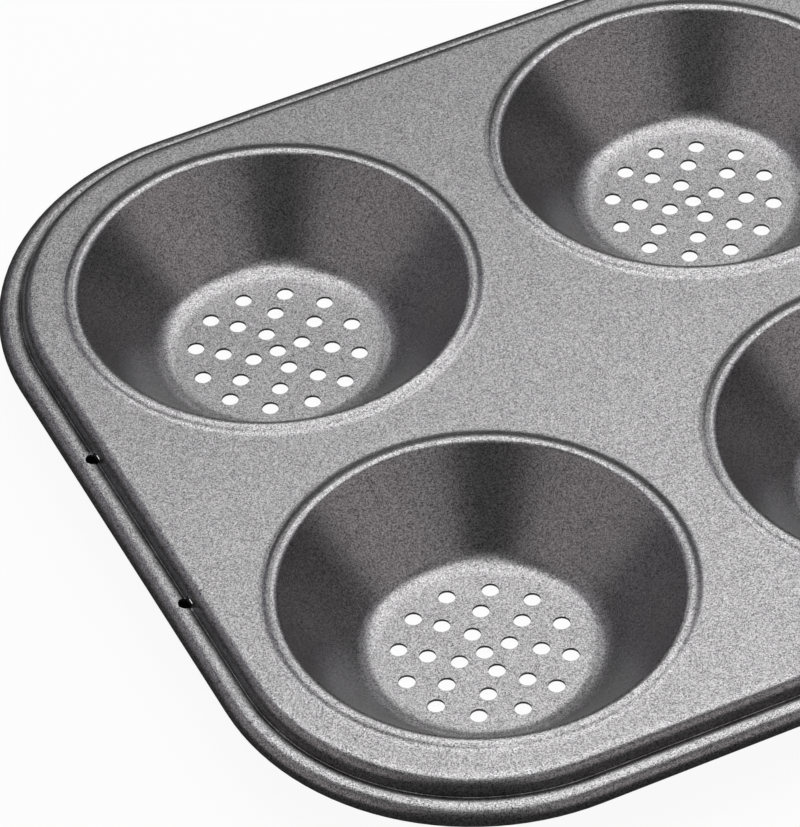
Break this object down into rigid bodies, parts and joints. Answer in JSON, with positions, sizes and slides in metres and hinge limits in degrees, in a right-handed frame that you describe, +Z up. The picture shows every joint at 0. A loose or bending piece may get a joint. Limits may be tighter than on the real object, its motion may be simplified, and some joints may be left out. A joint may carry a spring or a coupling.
{
  "type": "six-hole baking pan",
  "caption": "Shallow pressed-steel baking pan: a flat deck with round, sloping cups whose floors are perforated, inside a stepped edge and a hollow rolled bead.",
  "frame": {"origin": "middle of the pan, in the plane that the cups' floors stand on", "axes": "+X along the three cups of a row, +Y across the two rows, +Z up out of the cups"},
  "size_m": [0.3222, 0.2202, 0.0208],
  "materials": {
    "nonstick_coating": "mid-grey metallic non-stick coating, satin, with a fine silver speckle"
  },
  "bodies": {
    "root": {"baking_pan": "nonstick_coating"}
  },
  "joints": []
}
